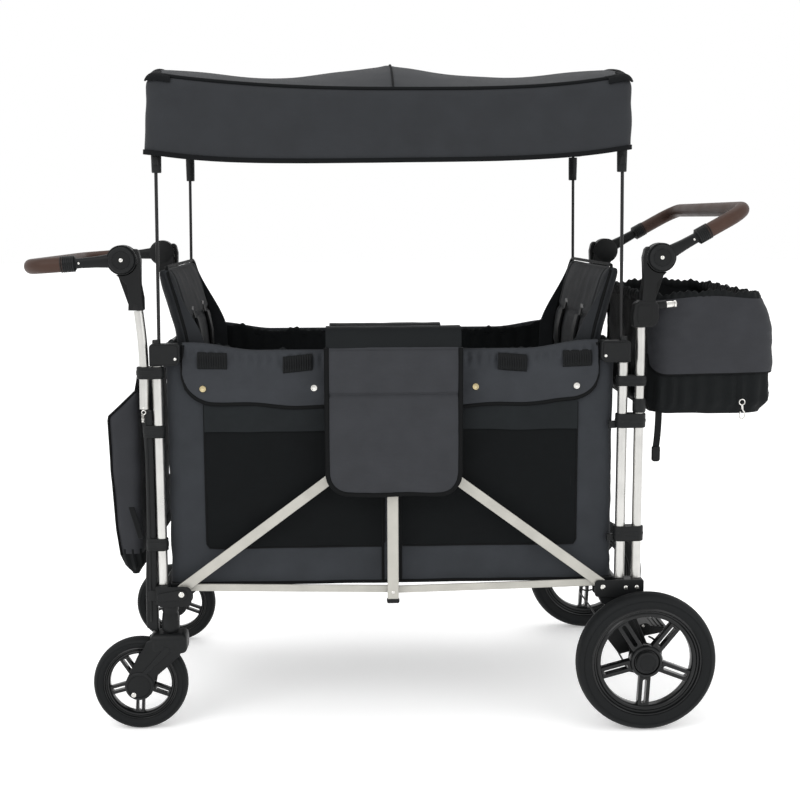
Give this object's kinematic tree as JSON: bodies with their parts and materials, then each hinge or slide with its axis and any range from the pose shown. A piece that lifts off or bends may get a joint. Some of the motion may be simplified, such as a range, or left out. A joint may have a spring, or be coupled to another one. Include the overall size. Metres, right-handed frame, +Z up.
{
  "type": "folding stroller wagon",
  "caption": "Folding child wagon with a soft tub, facing seats, roof canopy, tilting pull and push handles, swivel front casters, large rear wheels, bags and a centre-rising fold frame.",
  "frame": {"origin": "centre of the wagon's box on the floor it stands on, midway between front and rear and between left and right", "axes": "+X towards the push handle and rear wheels, +Y towards the wagon's right side, +Z up"},
  "size_m": [1.6188, 0.768, 1.445],
  "materials": {
    "silver_tube": "satin anodised",
    "silver_bar": "satin",
    "black_plastic": "fine moulded texture",
    "tyre": "smooth rubber",
    "rim": "semi-gloss",
    "grip_leather": "stitched leather wrap",
    "tub_fabric": "woven polyester",
    "flap_fabric": "woven polyester",
    "seat_fabric": "padded woven polyester",
    "bag_fabric": "woven polyester",
    "canopy_fabric": "woven polyester",
    "canopy_rod": "black paint",
    "floor_board": "fabric covered board",
    "cable": "black cable sheath"
  },
  "bodies": {
    "front_frame": {"front_post_left": "silver_tube", "front_post_right": "silver_tube", "front_top_crossbar": "black_plastic", "front_bottom_crossbar": "black_plastic", "front_handle_tube_left": "silver_tube", "front_handle_tube_right": "silver_tube", "front_knuckle_left": "black_plastic", "front_knuckle_right": "black_plastic", "backrest_front": "seat_fabric", "front_bag": "bag_fabric", "tub_front": "tub_fabric"},
    "front_handle": {"front_handle_bar": "black_plastic", "front_grip": "grip_leather"},
    "caster_left": {"caster_fork_left": "black_plastic"},
    "caster_right": {"caster_fork_right": "black_plastic"},
    "front_wheel_left": {"front_tyre_left": "tyre", "front_rim_left": "rim"},
    "front_wheel_right": {"front_tyre_right": "tyre", "front_rim_right": "rim"},
    "rails_front": {"rail_front_left": "silver_bar", "rail_front_right": "silver_bar", "floor_board_front": "floor_board"},
    "rails_rear": {"rail_rear_left": "silver_bar", "rail_rear_right": "silver_bar", "floor_board_rear": "floor_board"},
    "centre_posts": {"centre_post_left": "silver_bar", "centre_post_right": "silver_bar"},
    "hub_slider": {"hub_left": "black_plastic", "hub_right": "black_plastic"},
    "side_flaps": {"side_flap_left": "flap_fabric", "side_flap_right": "flap_fabric"},
    "diagonals_front": {"diagonal_front_left": "silver_bar", "diagonal_front_right": "silver_bar"},
    "diagonals_rear": {"diagonal_rear_left": "silver_bar", "diagonal_rear_right": "silver_bar"},
    "rear_frame": {"rear_post_left": "silver_tube", "rear_post_right": "silver_tube", "rear_top_crossbar": "black_plastic", "rear_bottom_crossbar": "black_plastic", "rear_handle_tube_left": "silver_tube", "rear_handle_tube_right": "silver_tube", "rear_knuckle_left": "black_plastic", "rear_knuckle_right": "black_plastic", "backrest_rear": "seat_fabric", "rear_bag": "bag_fabric", "tub_rear": "tub_fabric", "brake_cable": "cable"},
    "rear_handle": {"rear_handle_bar": "black_plastic", "rear_grip": "grip_leather"},
    "rear_wheel_left": {"rear_tyre_left": "tyre", "rear_rim_left": "rim"},
    "rear_wheel_right": {"rear_tyre_right": "tyre", "rear_rim_right": "rim"},
    "brake": {"brake_pedal": "black_plastic"},
    "seat_front": {"seat_cushion_front": "seat_fabric"},
    "seat_rear": {"seat_cushion_rear": "seat_fabric"},
    "canopy_front": {"canopy_shell_front": "canopy_fabric", "canopy_bow_front": "canopy_rod"},
    "canopy_rear": {"canopy_shell_rear": "canopy_fabric", "canopy_bow_rear": "canopy_rod"}
  },
  "joints": [
    {"name": "fold", "type": "hinge", "parent": "front_frame", "child": "rails_front", "pos_m": [-0.48956, 0, 0.313], "axis": [0, -1, 0], "range_deg": [0, 65]},
    {"name": "middle_fold", "type": "hinge", "parent": "rails_front", "child": "rails_rear", "pos_m": [-0.03456, 0, 0.303], "axis": [0, -1, 0], "range_deg": [-130.01, 0]},
    {"name": "rear_fold", "type": "hinge", "parent": "rails_rear", "child": "rear_frame", "pos_m": [0.42044, 0, 0.313], "axis": [0, -1, 0], "range_deg": [0, 65.01]},
    {"name": "centre_level", "type": "hinge", "parent": "rails_front", "child": "centre_posts", "pos_m": [-0.03456, 0, 0.303], "axis": [0, -1, 0], "range_deg": [-65.01, 0]},
    {"name": "hub_slide", "type": "slide", "parent": "centre_posts", "child": "hub_slider", "axis": [0, 0, 1], "range_m": [-0.22645, 0]},
    {"name": "flap_slide", "type": "slide", "parent": "centre_posts", "child": "side_flaps", "axis": [0, 0, 1], "range_m": [-0.15664, 0]},
    {"name": "diagonal_front_tilt", "type": "hinge", "parent": "front_frame", "child": "diagonals_front", "pos_m": [-0.48956, 0, 0.313], "axis": [0, -1, 0], "range_deg": [0, 32.65]},
    {"name": "diagonal_rear_tilt", "type": "hinge", "parent": "rear_frame", "child": "diagonals_rear", "pos_m": [0.42044, 0, 0.313], "axis": [0, -1, 0], "range_deg": [-32.65, 0]},
    {"name": "seat_front_lift", "type": "hinge", "parent": "front_frame", "child": "seat_front", "pos_m": [-0.45256, 0, 0.56], "axis": [0, -1, 0], "range_deg": [0, 75.01]},
    {"name": "seat_rear_lift", "type": "hinge", "parent": "rear_frame", "child": "seat_rear", "pos_m": [0.38344, 0, 0.56], "axis": [0, 1, 0], "range_deg": [0, 75.01]},
    {"name": "canopy_front_lift", "type": "slide", "parent": "front_frame", "child": "canopy_front", "axis": [0, 0, 1], "range_m": [0, 0.04]},
    {"name": "canopy_rear_lift", "type": "slide", "parent": "rear_frame", "child": "canopy_rear", "axis": [0, 0, 1], "range_m": [0, 0.04]},
    {"name": "pull_handle_tilt", "type": "hinge", "parent": "front_frame", "child": "front_handle", "pos_m": [-0.59656, 0, 1.02], "axis": [0, 1, 0], "range_deg": [-50, 60]},
    {"name": "push_handle_tilt", "type": "hinge", "parent": "rear_frame", "child": "rear_handle", "pos_m": [0.53744, 0, 1.02], "axis": [0, -1, 0], "range_deg": [-34, 60]},
    {"name": "caster_swivel_left", "type": "hinge", "parent": "front_frame", "child": "caster_left", "pos_m": [-0.51856, -0.3, 0.216], "axis": [0, 0, 1], "continuous": true},
    {"name": "caster_swivel_right", "type": "hinge", "parent": "front_frame", "child": "caster_right", "pos_m": [-0.51856, 0.3, 0.216], "axis": [0, 0, 1], "continuous": true},
    {"name": "front_wheel_spin_left", "type": "hinge", "parent": "caster_left", "child": "front_wheel_left", "pos_m": [-0.58556, -0.3, 0.1025], "axis": [0, 1, 0], "continuous": true},
    {"name": "front_wheel_spin_right", "type": "hinge", "parent": "caster_right", "child": "front_wheel_right", "pos_m": [-0.58556, 0.3, 0.1025], "axis": [0, 1, 0], "continuous": true},
    {"name": "rear_wheel_spin_left", "type": "hinge", "parent": "rear_frame", "child": "rear_wheel_left", "pos_m": [0.51144, -0.36, 0.1525], "axis": [0, 1, 0], "continuous": true},
    {"name": "rear_wheel_spin_right", "type": "hinge", "parent": "rear_frame", "child": "rear_wheel_right", "pos_m": [0.51144, 0.36, 0.1525], "axis": [0, 1, 0], "continuous": true},
    {"name": "brake_press", "type": "hinge", "parent": "rear_frame", "child": "brake", "pos_m": [0.51544, -0.294, 0.1965], "axis": [0, 1, 0], "range_deg": [0, 18]}
  ],
  "couplings": [
    {"joint": "middle_fold", "follows": "fold", "ratio": -2},
    {"joint": "rear_fold", "follows": "fold", "ratio": 1},
    {"joint": "centre_level", "follows": "fold", "ratio": -1},
    {"joint": "hub_slide", "follows": "fold", "m_per_rad": -0.19917},
    {"joint": "flap_slide", "follows": "fold", "m_per_rad": -0.13764},
    {"joint": "diagonal_front_tilt", "follows": "fold", "ratio": 0.5022},
    {"joint": "diagonal_rear_tilt", "follows": "fold", "ratio": -0.5022},
    {"joint": "seat_front_lift", "follows": "fold", "ratio": 1.1538},
    {"joint": "seat_rear_lift", "follows": "fold", "ratio": 1.1538},
    {"joint": "canopy_rear_lift", "follows": "canopy_front_lift", "ratio": 1}
  ]
}
